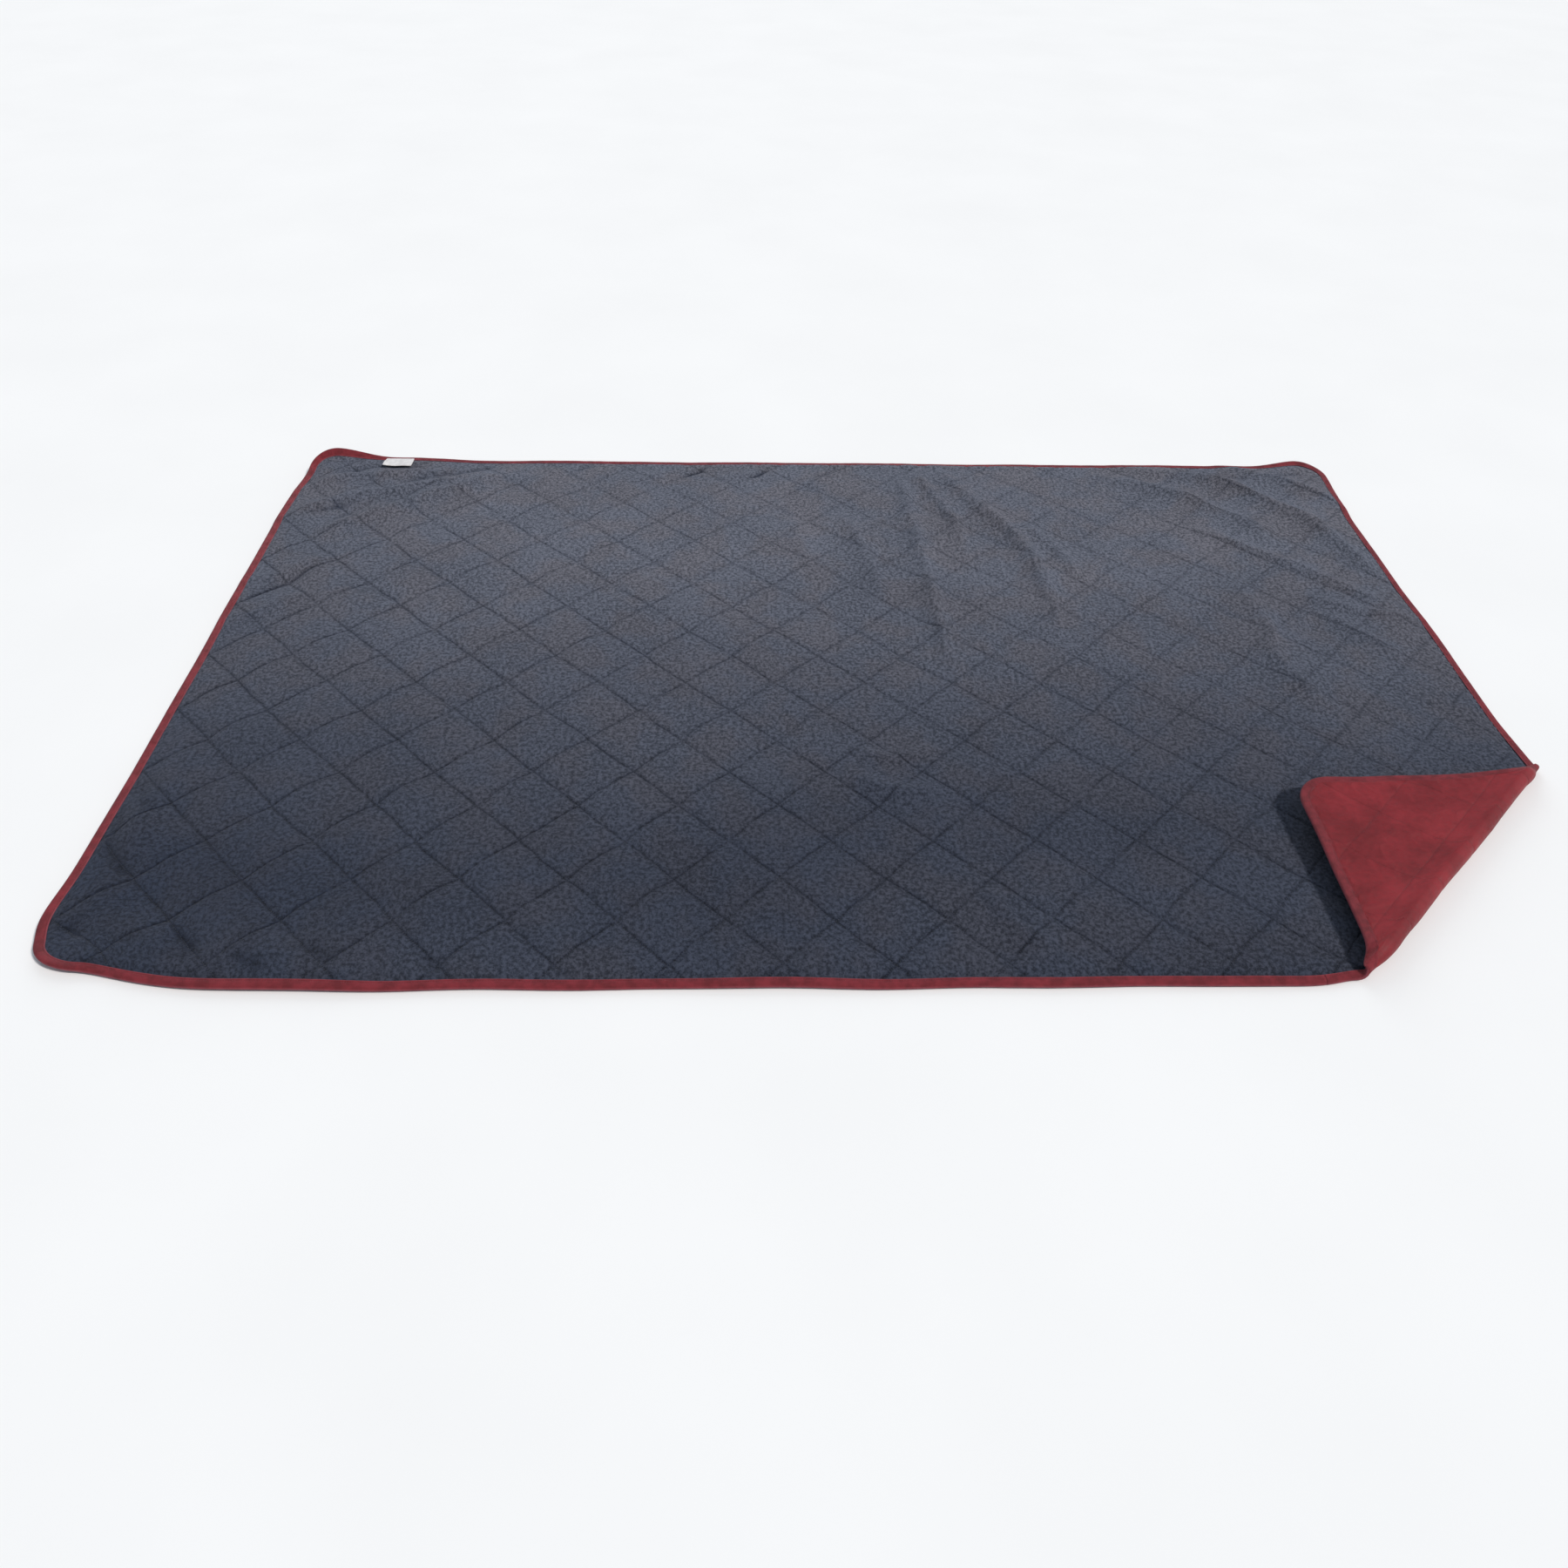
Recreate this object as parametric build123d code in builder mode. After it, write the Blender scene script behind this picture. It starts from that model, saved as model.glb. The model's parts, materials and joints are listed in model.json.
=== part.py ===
"""Quilted camp blanket laid flat, with one corner turned back over itself.

Three cloths are quilted together: a nylon backing underneath, a thin wadding, and a
fleece face on top. A folded tape binds the raw edge all round, and a care label is caught
in the binding seam near one corner. Millimetres, +Z up. The blanket lies on Z = 0, its
long side along X, and its centre is the origin. Heights in this file are measured through
the cloth from its underside, so they follow the cloth round the fold.
"""

from build123d import *
import math
import os

# The cut cloth
LENGTH = 2000.0
WIDTH = 1300.0
CORNER_RADIUS = 55.0
BACKING_TOP = 0.8
WADDING_TOP = 4.2
FLEECE_TOP = 8.0

# The binding presses the three cloths thin along the edge
BINDING_WIDTH = 12.5
TAPE = 0.5
BOUND_BACKING_TOP = 1.2
BOUND_WADDING_TOP = 3.2
BOUND_FLEECE_TOP = 5.5
BOUND_TOP = BOUND_FLEECE_TOP + TAPE
LAP_LENGTH = 30.0
LAP_Y = -186.0

# The binding's own row of stitches, one thread on each face
STITCH_INSET = 10.0
STITCH_WIDTH = 0.6
STITCH_DEPTH = 0.25

# The quilting: two families of parallel seams that cross at right angles
QUILT_PITCH = 96.5
RISING_PHASE = 78.5
FALLING_PHASE = 72.0
THREAD_WIDTH = 1.2
TOP_THREAD = 0.8
UNDER_THREAD = 0.25

# The turned corner: how far its fold line cuts each side, and the round bend of the fold
FOLD_LEG = 387.0
BEND_RADIUS = 16.0
FLAP_TILT = 2.5
FLAP_REACH = 320.0
BODY_GAP = 0.1

# The care label, caught under the binding of the back edge
LABEL_X = -820.0
LABEL_WIDTH = 52.0
LABEL_LENGTH = 34.0
LABEL_THICKNESS = 0.6
LABEL_CLEARANCE = 0.4

# Worked out from the sizes above. "Across" runs square to the fold, towards the turned
# corner, and "along" runs with the fold.
FOLD_OFFSET = (LENGTH + WIDTH) / 2 - FOLD_LEG
BEND_ACROSS = FOLD_OFFSET / math.sqrt(2) - BEND_RADIUS
HALF_DIAGONAL = (LENGTH + WIDTH) / (2 * math.sqrt(2))
MIDDLE_RADIUS = BEND_RADIUS - FLEECE_TOP / 2
BEND_LENGTH = MIDDLE_RADIUS * math.radians(180 - FLAP_TILT)
LAST_SEAM = HALF_DIAGONAL - CORNER_RADIUS * (math.sqrt(2) - 1) - BINDING_WIDTH
FLOOR_CLEAR = 1.0
HEADROOM = 80.0

LAID = False
TURNED = True

ACROSS_FOLD = Plane(
    origin=(BEND_ACROSS / math.sqrt(2), -BEND_ACROSS / math.sqrt(2), BEND_RADIUS),
    x_dir=(1, -1, 0),
    z_dir=(-1, -1, 0),
)
FLAP_LEAN = math.radians(FLAP_TILT)
ACROSS_FLAP = Plane(
    origin=ACROSS_FOLD.origin,
    x_dir=(1, -1, -math.sqrt(2) * math.tan(FLAP_LEAN)),
    z_dir=(-1, -1, 0),
)


def seam_places(phase):
    """Distances of one family's seams from the centre, over the whole cloth."""
    first = math.ceil((-HALF_DIAGONAL - phase) / QUILT_PITCH)
    last = math.floor((HALF_DIAGONAL - phase) / QUILT_PITCH)
    return [phase + QUILT_PITCH * k for k in range(first, last + 1)]


def section(low, high, side, along=0.0):
    """The cloth between two heights, cut square to the fold, up to the fold's outer line."""
    outer = BEND_RADIUS - low
    inner = BEND_RADIUS - high
    with BuildSketch(ACROSS_FOLD.offset(-along)) as profile:
        with BuildLine():
            if side is LAID:
                start, sweep = 270, 90
                far = Vector(-2 * HALF_DIAGONAL, 0)
            else:
                start, sweep = 0, 90 - FLAP_TILT
                far = Vector(-FLAP_REACH, 0).rotate(Axis.Z, -FLAP_TILT)
            bend_out = CenterArc((0, 0), outer, start, sweep)
            bend_in = CenterArc((0, 0), inner, start, sweep)
            flat_end, crest = (0, 1) if side is LAID else (1, 0)
            Line(bend_out @ crest, bend_in @ crest)
            under = Line(bend_out @ flat_end, bend_out @ flat_end + far)
            over = Line(bend_in @ flat_end, bend_in @ flat_end + far)
            Line(under @ 1, over @ 1)
        make_face()
    return profile.sketch


def outline(inset, side):
    """The blanket's outline in plan, drawn in by inset. Turned, it is mirrored in the fold."""
    low = -FLOOR_CLEAR if side is LAID else BEND_RADIUS + BODY_GAP
    centre = (0, 0) if side is LAID else (FOLD_OFFSET, -FOLD_OFFSET)
    sides = (LENGTH, WIDTH) if side is LAID else (WIDTH, LENGTH)
    with BuildSketch(Plane.XY.offset(low)) as plan:
        with Locations(centre):
            RectangleRounded(sides[0] - 2 * inset, sides[1] - 2 * inset, CORNER_RADIUS - inset)
    return plan.sketch


def height(side):
    """How high the outline is raised: the laid cloth ends at the fold's outer line."""
    return FLOOR_CLEAR + BEND_RADIUS - BODY_GAP if side is LAID else HEADROOM


def cloth(low, high, inset, side):
    """The cloth between two heights, out to the outline less inset."""
    with BuildPart() as piece:
        extrude(section(low, high, side), amount=HALF_DIAGONAL, both=True)
        extrude(outline(inset, side), amount=height(side), mode=Mode.INTERSECT)
    return piece.part


def rising_runs(low, high, side):
    """One straight run for each seam that lies along the fold, between two heights."""
    middle = (low + high) / 2 - BEND_RADIUS
    if side is LAID:
        plane = ACROSS_FOLD
        places = [(a - BEND_ACROSS, middle) for a in seam_places(RISING_PHASE) if a < BEND_ACROSS]
    else:
        plane = ACROSS_FLAP
        on_flap = [a for a in seam_places(RISING_PHASE) if BEND_ACROSS < a < LAST_SEAM]
        places = [(BEND_ACROSS + BEND_LENGTH - a, -middle) for a in on_flap]
    with BuildPart() as piece:
        with BuildSketch(plane):
            with Locations(*places):
                Rectangle(THREAD_WIDTH, high - low)
        extrude(amount=HALF_DIAGONAL, both=True)
        extrude(outline(BINDING_WIDTH, side), amount=height(side), mode=Mode.INTERSECT)
    return piece.part


def falling_runs(low, high, side):
    """One run for each seam that crosses the fold, between two heights, bent with the cloth."""
    with BuildPart() as piece:
        for along in seam_places(FALLING_PHASE):
            extrude(section(low, high, side, along), amount=THREAD_WIDTH / 2, both=True)
        extrude(outline(BINDING_WIDTH, side), amount=height(side), mode=Mode.INTERSECT)
    return piece.part


def layer(bound_low, bound_high, low, high, side):
    """One cloth: its pressed rim under the binding, and its full thickness inside that."""
    with BuildPart() as piece:
        add(cloth(bound_low, bound_high, TAPE, side))
        add(cloth(-FLOOR_CLEAR, FLEECE_TOP + 1, BINDING_WIDTH, side), mode=Mode.SUBTRACT)
        add(cloth(low, high, BINDING_WIDTH, side))
    return piece.part


def stitch_row(low, high, side):
    """The thread of the binding seam on one face, all along the tape."""
    with BuildPart() as piece:
        add(cloth(low, high, STITCH_INSET, side))
        add(cloth(low - TAPE, high + TAPE, STITCH_INSET + STITCH_WIDTH, side), mode=Mode.SUBTRACT)
    return piece.part


def write(part, name):
    """Labels a finished piece and writes it as its own file."""
    part.label = name
    export_step(part, f"parts/{name}.step")


os.makedirs("parts", exist_ok=True)

for side, ending in ((LAID, ""), (TURNED, "_corner")):
    # Fleece face, with a channel pressed into its pile along each quilting seam
    with BuildPart() as fleece:
        add(layer(BOUND_WADDING_TOP, BOUND_FLEECE_TOP, WADDING_TOP, FLEECE_TOP, side))
        add(rising_runs(FLEECE_TOP - 2 * TOP_THREAD, FLEECE_TOP + 1, side), mode=Mode.SUBTRACT)
        add(falling_runs(FLEECE_TOP - TOP_THREAD, FLEECE_TOP + 1, side), mode=Mode.SUBTRACT)
    write(fleece.part, "fleece_face" + ending)

    # Wadding, shut in between the other two cloths
    with BuildPart() as wadding:
        add(layer(BOUND_BACKING_TOP, BOUND_WADDING_TOP, BACKING_TOP, WADDING_TOP, side))
    write(wadding.part, "wadding" + ending)

    # Nylon backing, the underside, with shallow channels for the quilting threads
    with BuildPart() as backing:
        add(layer(TAPE, BOUND_BACKING_TOP, 0, BACKING_TOP, side))
        add(rising_runs(-1, 2 * UNDER_THREAD, side), mode=Mode.SUBTRACT)
        add(falling_runs(-1, UNDER_THREAD, side), mode=Mode.SUBTRACT)
    write(backing.part, "nylon_backing" + ending)

    # Binding tape, folded over the edge like a channel
    with BuildPart() as binding:
        add(cloth(0, BOUND_TOP, 0, side))
        add(cloth(TAPE, BOUND_FLEECE_TOP, TAPE, side), mode=Mode.SUBTRACT)
        add(cloth(-FLOOR_CLEAR, BOUND_TOP + 1, BINDING_WIDTH, side), mode=Mode.SUBTRACT)
        add(stitch_row(BOUND_TOP - STITCH_DEPTH, BOUND_TOP, side), mode=Mode.SUBTRACT)
        add(stitch_row(0, STITCH_DEPTH, side), mode=Mode.SUBTRACT)
        if side is LAID:
            # The end of the tape laps over its beginning on the left side
            with BuildSketch(Plane.XY.offset(BOUND_TOP)):
                with Locations((-LENGTH / 2 + BINDING_WIDTH / 2, LAP_Y)):
                    Rectangle(BINDING_WIDTH, LAP_LENGTH)
            extrude(amount=TAPE)
    write(binding.part, "binding_tape" + ending)

    # Quilting threads: the falling seams are sewn last and lie over the rising ones
    with BuildPart() as top_rising:
        add(rising_runs(FLEECE_TOP - 2 * TOP_THREAD, FLEECE_TOP - TOP_THREAD, side))
    write(top_rising.part, "quilting_thread_top_rising" + ending)
    with BuildPart() as top_falling:
        add(falling_runs(FLEECE_TOP - TOP_THREAD, FLEECE_TOP, side))
    write(top_falling.part, "quilting_thread_top_falling" + ending)
    with BuildPart() as under_rising:
        add(rising_runs(UNDER_THREAD, 2 * UNDER_THREAD, side))
    write(under_rising.part, "quilting_thread_under_rising" + ending)
    with BuildPart() as under_falling:
        add(falling_runs(0, UNDER_THREAD, side))
    write(under_falling.part, "quilting_thread_under_falling" + ending)

    # The two threads of the binding seam
    with BuildPart() as stitch_top:
        add(stitch_row(BOUND_TOP - STITCH_DEPTH, BOUND_TOP, side))
    write(stitch_top.part, "binding_stitch_top" + ending)
    with BuildPart() as stitch_under:
        add(stitch_row(0, STITCH_DEPTH, side))
    write(stitch_under.part, "binding_stitch_under" + ending)

# Care label, a doubled strip of satin tape that lies on the fleece and lifts at its seam
with BuildPart() as care_label:
    root = WIDTH / 2 - BINDING_WIDTH - LABEL_CLEARANCE
    with BuildSketch(Plane.XY.offset(FLEECE_TOP + LABEL_CLEARANCE)):
        with Locations((LABEL_X, root - LABEL_LENGTH / 2)):
            RectangleRounded(LABEL_WIDTH, LABEL_LENGTH, 1.5)
    extrude(amount=LABEL_THICKNESS)
write(care_label.part, "care_label")
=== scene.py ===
"""Looks of the quilted camp blanket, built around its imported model."""

import json
import math

import bpy
import numpy as np
from mathutils import Matrix, Vector


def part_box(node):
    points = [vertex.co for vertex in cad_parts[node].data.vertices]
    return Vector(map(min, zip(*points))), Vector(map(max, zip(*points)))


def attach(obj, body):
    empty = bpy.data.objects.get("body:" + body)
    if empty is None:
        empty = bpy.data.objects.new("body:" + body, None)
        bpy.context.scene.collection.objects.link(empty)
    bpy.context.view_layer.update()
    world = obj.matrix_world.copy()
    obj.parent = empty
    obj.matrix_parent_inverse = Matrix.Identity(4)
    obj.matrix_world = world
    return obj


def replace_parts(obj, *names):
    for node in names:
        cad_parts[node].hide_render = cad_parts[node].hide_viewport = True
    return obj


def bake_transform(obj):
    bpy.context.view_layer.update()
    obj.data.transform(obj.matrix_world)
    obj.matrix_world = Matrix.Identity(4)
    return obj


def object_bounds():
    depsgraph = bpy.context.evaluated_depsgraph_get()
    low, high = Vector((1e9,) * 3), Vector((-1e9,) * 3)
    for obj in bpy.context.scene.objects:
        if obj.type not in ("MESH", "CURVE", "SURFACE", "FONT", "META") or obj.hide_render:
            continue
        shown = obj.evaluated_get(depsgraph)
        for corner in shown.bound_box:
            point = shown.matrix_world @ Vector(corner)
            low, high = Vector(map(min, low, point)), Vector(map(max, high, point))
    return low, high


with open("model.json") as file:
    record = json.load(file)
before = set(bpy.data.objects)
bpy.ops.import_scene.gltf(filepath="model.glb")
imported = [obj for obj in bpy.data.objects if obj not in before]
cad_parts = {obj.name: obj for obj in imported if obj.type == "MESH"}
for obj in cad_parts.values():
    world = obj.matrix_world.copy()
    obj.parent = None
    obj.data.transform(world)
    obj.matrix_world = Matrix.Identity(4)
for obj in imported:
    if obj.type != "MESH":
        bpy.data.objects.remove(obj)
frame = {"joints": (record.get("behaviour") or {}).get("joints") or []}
cad_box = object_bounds()


# ---- Fleece face ---------------------------------------------------------------------------
# The top cloth: a short, dense polyester pile, cut as a rectangle with rounded corners and
# quilted in diamonds to the wadding and the backing. It lies flat with a few loose folds, and
# its front-right corner is turned back over it in a plump bend.

ROOT_2 = math.sqrt(2)
LENGTH = cad_box[1].x - cad_box[0].x
WIDTH = cad_box[1].y - cad_box[0].y
CORNER_RADIUS = 0.055
LOFT = 0.008  # from the backing's outer face to the tips of the pile
BOUND_LOFT = 0.0048  # the same where the tape squeezes it
TAPE_WIDTH = 0.0125
TUCK = 0.004  # the cloths end this far inside the tape's outer edge

PITCH = 0.0965  # of the quilting, square to the seams
RISING_SEAM = 0.0785  # across the fold, where one of the seams that run along it lies
FALLING_SEAM = 0.0720  # along the fold, where one of the seams that cross it lies
GROOVE_DEPTH = 0.0013  # of a seam in the pile
GROOVE_SIDE = 0.0016
HILL_HEIGHT = 0.0005  # of a diamond between the seams
HILL_SIDE = 0.013
THINNEST = 0.0032  # pile and wadding at the bottom of the sharpest crease

fold = next(joint for joint in frame["joints"] if joint["name"] == "corner_fold")
HINGE_ACROSS = (fold["pos_m"][0] - fold["pos_m"][1]) / ROOT_2
BEND_HEIGHT = fold["pos_m"][2]
HINGE_GAP = 0.0003  # the hinge line is this far outside the bend
BEND_START = HINGE_ACROSS - BEND_HEIGHT - HINGE_GAP
MIDDLE_BEND = BEND_HEIGHT - LOFT / 2  # radius of the bend in the middle of the layers
TURN = math.radians(177.5)  # the turned corner rises slowly from its fold
SPLIT = RISING_SEAM + 8 * PITCH  # a seam under the turned corner, where moving cloth begins
HALF_DIAGONAL = (LENGTH + WIDTH) / 2 / ROOT_2
FLEECE_TURN = (0.0093, 0.0227)  # heights in the bend where the fleece would start and end turning with the corner


def across_along(x, y):
    """Distance across the fold, and along it, of a point of the cut: its axes turned by 45
    degrees."""
    return (x - y) / ROOT_2, (x + y) / ROOT_2


def smooth(t):
    """0 below 0, 1 above 1, and three t squared less two t cubed between."""
    t = np.clip(t, 0, 1)
    return t * t * (3 - 2 * t)


def near(distance, reach):
    """1 at no distance, falling off as a bell of that reach."""
    return np.exp(-((distance / reach) ** 2))


def outward(x, y):
    """Direction away from the nearest edge: square to a side, or away from a corner's centre."""
    over_x = np.maximum(np.abs(x) - (LENGTH / 2 - CORNER_RADIUS), 0)
    over_y = np.maximum(np.abs(y) - (WIDTH / 2 - CORNER_RADIUS), 0)
    size = np.maximum(np.hypot(over_x, over_y), 1e-9)
    return np.sign(x) * over_x / size, np.sign(y) * over_y / size


def inset(x, y):
    """Distance inward from the cut edge, a rectangle with round corners, and negative outside."""
    over_x = np.abs(x) - (LENGTH / 2 - CORNER_RADIUS)
    over_y = np.abs(y) - (WIDTH / 2 - CORNER_RADIUS)
    outside = np.hypot(np.maximum(over_x, 0), np.maximum(over_y, 0))
    return CORNER_RADIUS - outside - np.minimum(np.maximum(over_x, over_y), 0)


def wander(u, v, wave, seed):
    """Slow drift from about -1 to 1: sine waves of random heading, phase and length near wave."""
    rng = np.random.default_rng(seed)
    total = np.zeros(np.broadcast(u, v).shape)
    for _ in range(9):
        heading, phase = rng.uniform(0, 2 * math.pi, 2)
        step = 2 * math.pi / (wave * rng.uniform(0.7, 1.5))
        total += np.sin(step * (u * math.cos(heading) + v * math.sin(heading)) + phase)
    return total / 4.5


def eased(points):
    """A bent line with its corners cut twice, each run keeping its middle half."""
    line = np.array(points, float)
    for _ in range(2):
        first, last = line[:1], line[-1:]
        nearer = 0.75 * line[:-1] + 0.25 * line[1:]
        further = 0.25 * line[:-1] + 0.75 * line[1:]
        line = np.stack([nearer, further], 1).reshape(-1, 2)
        line = np.concatenate([first, line, last])
    return line


def crest(x, y, points, side, rounding, fade=0.3):
    """A fold's share of its height: e to the minus distance from its line over side, rounded
    at the top, and fading out towards both ends of the line."""
    line = eased(points)
    share = np.zeros(x.shape)
    low, high = line.min(0) - 5 * side, line.max(0) + 5 * side
    close = (x > low[0]) & (x < high[0]) & (y > low[1]) & (y < high[1])
    run = np.diff(line, axis=0)
    size = np.hypot(run[:, 0], run[:, 1])
    start = np.cumsum(size) - size
    to_x = x[close][:, None] - line[:-1, 0]
    to_y = y[close][:, None] - line[:-1, 1]
    t = np.clip((to_x * run[:, 0] + to_y * run[:, 1]) / size**2, 0, 1)
    away = np.hypot(to_x - t * run[:, 0], to_y - t * run[:, 1])
    pick = away.argmin(1)[:, None]
    away = np.take_along_axis(away, pick, 1)[:, 0]
    along = (start + t * size) / size.sum()
    along = np.take_along_axis(along, pick, 1)[:, 0]
    ends = smooth(along / fade) * smooth((1 - along) / fade)
    share[close] = ends * np.exp((rounding - np.hypot(away, rounding)) / side)
    return share


# Loose folds that lift the whole cloth: height, width of a side, rounding at the top, line.
FOLDS = [
    # arcs round the back-right corner
    (0.017, 0.016, 0.005, [(0.56, 0.66), (0.625, 0.609), (0.721, 0.588), (0.795, 0.551),
                           (0.848, 0.477), (0.901, 0.424), (0.933, 0.350), (0.954, 0.275),
                           (0.985, 0.190)]),
    (0.013, 0.016, 0.007, [(0.50, 0.62), (0.572, 0.572), (0.689, 0.509), (0.742, 0.456),
                           (0.800, 0.390), (0.84, 0.33)]),
    (0.011, 0.013, 0.005, [(0.64, 0.42), (0.705, 0.365), (0.784, 0.297), (0.848, 0.244),
                           (0.912, 0.169), (1.00, 0.115)]),
    (0.010, 0.014, 0.005, [(0.77, 0.66), (0.837, 0.615), (0.901, 0.572), (0.954, 0.530),
                           (1.02, 0.430)]),
    (0.008, 0.010, 0.004, [(0.790, 0.180), (0.840, 0.150), (0.890, 0.120), (1.01, 0.105)]),
    # ripples that run in from the back edge
    (0.013, 0.011, 0.007, [(0.14, 0.67), (0.154, 0.593), (0.159, 0.445), (0.167, 0.286),
                           (0.175, 0.074), (0.18, -0.10)]),
    (0.010, 0.009, 0.006, [(0.17, 0.66), (0.195, 0.551), (0.228, 0.466), (0.243, 0.380),
                           (0.25, 0.25)]),
    (0.014, 0.011, 0.007, [(0.22, 0.66), (0.254, 0.551), (0.307, 0.434), (0.345, 0.360),
                           (0.366, 0.265), (0.371, 0.138), (0.36, 0.02)]),
    (0.008, 0.012, 0.005, [(0.36, 0.42), (0.392, 0.350), (0.424, 0.286), (0.44, 0.20)]),
    (0.008, 0.012, 0.006, [(0.03, 0.46), (0.062, 0.318), (0.085, 0.222), (0.09, 0.12)]),
    (0.005, 0.012, 0.006, [(-0.06, 0.44), (-0.045, 0.36), (-0.04, 0.29), (-0.02, 0.20)]),
    # puckers on the right
    (0.008, 0.012, 0.005, [(0.695, 0.25), (0.708, 0.191), (0.721, 0.074), (0.700, -0.011),
                           (0.735, -0.10), (0.76, -0.16)]),
    (0.007, 0.011, 0.005, [(0.80, 0.14), (0.848, 0.085), (0.890, 0.032), (0.93, -0.02)]),
    # slanting folds at the back-left corner
    (0.012, 0.013, 0.005, [(-1.02, 0.375), (-0.954, 0.440), (-0.880, 0.478), (-0.795, 0.500),
                           (-0.70, 0.545), (-0.62, 0.60)]),
    (0.013, 0.015, 0.006, [(-0.93, 0.345), (-0.85, 0.400), (-0.79, 0.440), (-0.71, 0.500),
                           (-0.64, 0.55), (-0.58, 0.61)]),
    (0.010, 0.012, 0.004, [(-1.01, 0.49), (-0.943, 0.545), (-0.87, 0.565), (-0.78, 0.565),
                           (-0.70, 0.60)]),
    (0.006, 0.012, 0.005, [(-1.01, 0.19), (-0.95, 0.215), (-0.90, 0.245), (-0.85, 0.30)]),
    (0.005, 0.012, 0.005, [(-1.01, 0.08), (-0.96, 0.095), (-0.91, 0.13), (-0.86, 0.18)]),
    # short puckers along the back edge
    (0.004, 0.010, 0.004, [(-0.50, 0.635), (-0.51, 0.59), (-0.535, 0.56), (-0.58, 0.53)]),
    (0.004, 0.010, 0.004, [(-0.27, 0.635), (-0.29, 0.59), (-0.33, 0.570), (-0.37, 0.55)]),
    (0.005, 0.010, 0.004, [(-0.09, 0.635), (-0.115, 0.60), (-0.16, 0.580), (-0.20, 0.57)]),
    (0.004, 0.010, 0.004, [(0.04, 0.635), (0.02, 0.60), (0.00, 0.57), (-0.04, 0.55)]),
    # rolls along the left and front edges
    (0.007, 0.030, 0.015, [(-0.965, -0.60), (-0.955, -0.50), (-0.950, -0.40), (-0.945, -0.28),
                           (-0.93, -0.20)]),
    (0.006, 0.028, 0.014, [(-0.95, -0.55), (-0.87, -0.580), (-0.78, -0.600), (-0.66, -0.61),
                           (-0.55, -0.60)]),
    (0.007, 0.012, 0.005, [(0.15, -0.49), (0.185, -0.53), (0.20, -0.57), (0.25, -0.60)]),
    (0.004, 0.012, 0.006, [(-0.47, -0.50), (-0.43, -0.52), (-0.40, -0.55), (-0.38, -0.60)]),
    (0.006, 0.010, 0.005, [(0.00, -0.22), (0.05, -0.25), (0.09, -0.245), (0.14, -0.22)]),
    (0.006, 0.010, 0.005, [(-0.01, -0.27), (0.04, -0.31), (0.09, -0.325), (0.14, -0.31)]),
]

# Sharp creases that only press the pile and the wadding down: depth, side, line.
CREASES = [
    (0.0045, 0.005, [(-0.90, 0.385), (-0.880, 0.413), (-0.855, 0.440), (-0.82, 0.470)]),
    (0.0035, 0.005, [(-0.960, 0.412), (-0.92, 0.437), (-0.875, 0.452), (-0.84, 0.478)]),
    (0.0045, 0.006, [(-0.955, 0.562), (-0.90, 0.590), (-0.85, 0.607), (-0.80, 0.60),
                     (-0.75, 0.612)]),
    (0.0030, 0.008, [(-0.80, 0.522), (-0.75, 0.560), (-0.72, 0.58), (-0.69, 0.60)]),
    (0.0045, 0.006, [(-0.735, 0.560), (-0.690, 0.585), (-0.660, 0.60), (-0.63, 0.625)]),
    (0.0045, 0.004, [(-0.485, 0.590), (-0.47, 0.602), (-0.455, 0.615), (-0.44, 0.63)]),
    (0.0045, 0.004, [(-0.27, 0.570), (-0.25, 0.590), (-0.235, 0.605), (-0.22, 0.625)]),
    (0.0050, 0.004, [(-0.145, 0.567), (-0.12, 0.585), (-0.105, 0.605), (-0.095, 0.63)]),
    (0.0040, 0.004, [(-0.02, 0.565), (0.005, 0.585), (0.025, 0.605), (0.035, 0.63)]),
    (0.0040, 0.006, [(-0.985, 0.135), (-0.95, 0.165), (-0.92, 0.195), (-0.865, 0.250)]),
    (0.0045, 0.006, [(0.66, 0.600), (0.74, 0.606), (0.80, 0.590), (0.86, 0.575)]),
    (0.0045, 0.006, [(0.86, 0.595), (0.90, 0.600), (0.94, 0.605), (0.975, 0.60)]),
    (0.0030, 0.006, [(-0.985, -0.33), (-0.975, -0.40), (-0.97, -0.44), (-0.94, -0.48)]),
    (0.0040, 0.005, [(0.175, -0.505), (0.195, -0.53), (0.205, -0.55), (0.23, -0.57)]),
    # dimples where the tape draws the left and front edges in
    (0.0035, 0.012, [(-0.984, -0.294), (-0.957, -0.338), (-0.933, -0.379)]),
    (0.0035, 0.012, [(-0.979, -0.420), (-0.947, -0.459), (-0.917, -0.489)]),
    (0.0030, 0.010, [(-0.971, -0.553), (-0.949, -0.594)]),
    (0.0040, 0.014, [(-0.843, -0.561), (-0.811, -0.585), (-0.780, -0.608)]),
    (0.0035, 0.011, [(-0.759, -0.600), (-0.728, -0.618), (-0.699, -0.628)]),
    (0.0035, 0.011, [(-0.675, -0.582), (-0.628, -0.622)]),
    (0.0030, 0.010, [(-0.533, -0.605), (-0.498, -0.630)]),
]


# Edges that curl up at the two back corners: height, how fast it falls off inward, then centre
# and reach along X and along Y.
CURLS = [
    (0.018, 0.011, -0.930, 0.095, 0.65, 0.07),
    (0.009, 0.016, 0.955, 0.060, 0.65, 0.06),
]
UNEVENNESS = 0.0009
HIGHEST = 0.026


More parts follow.
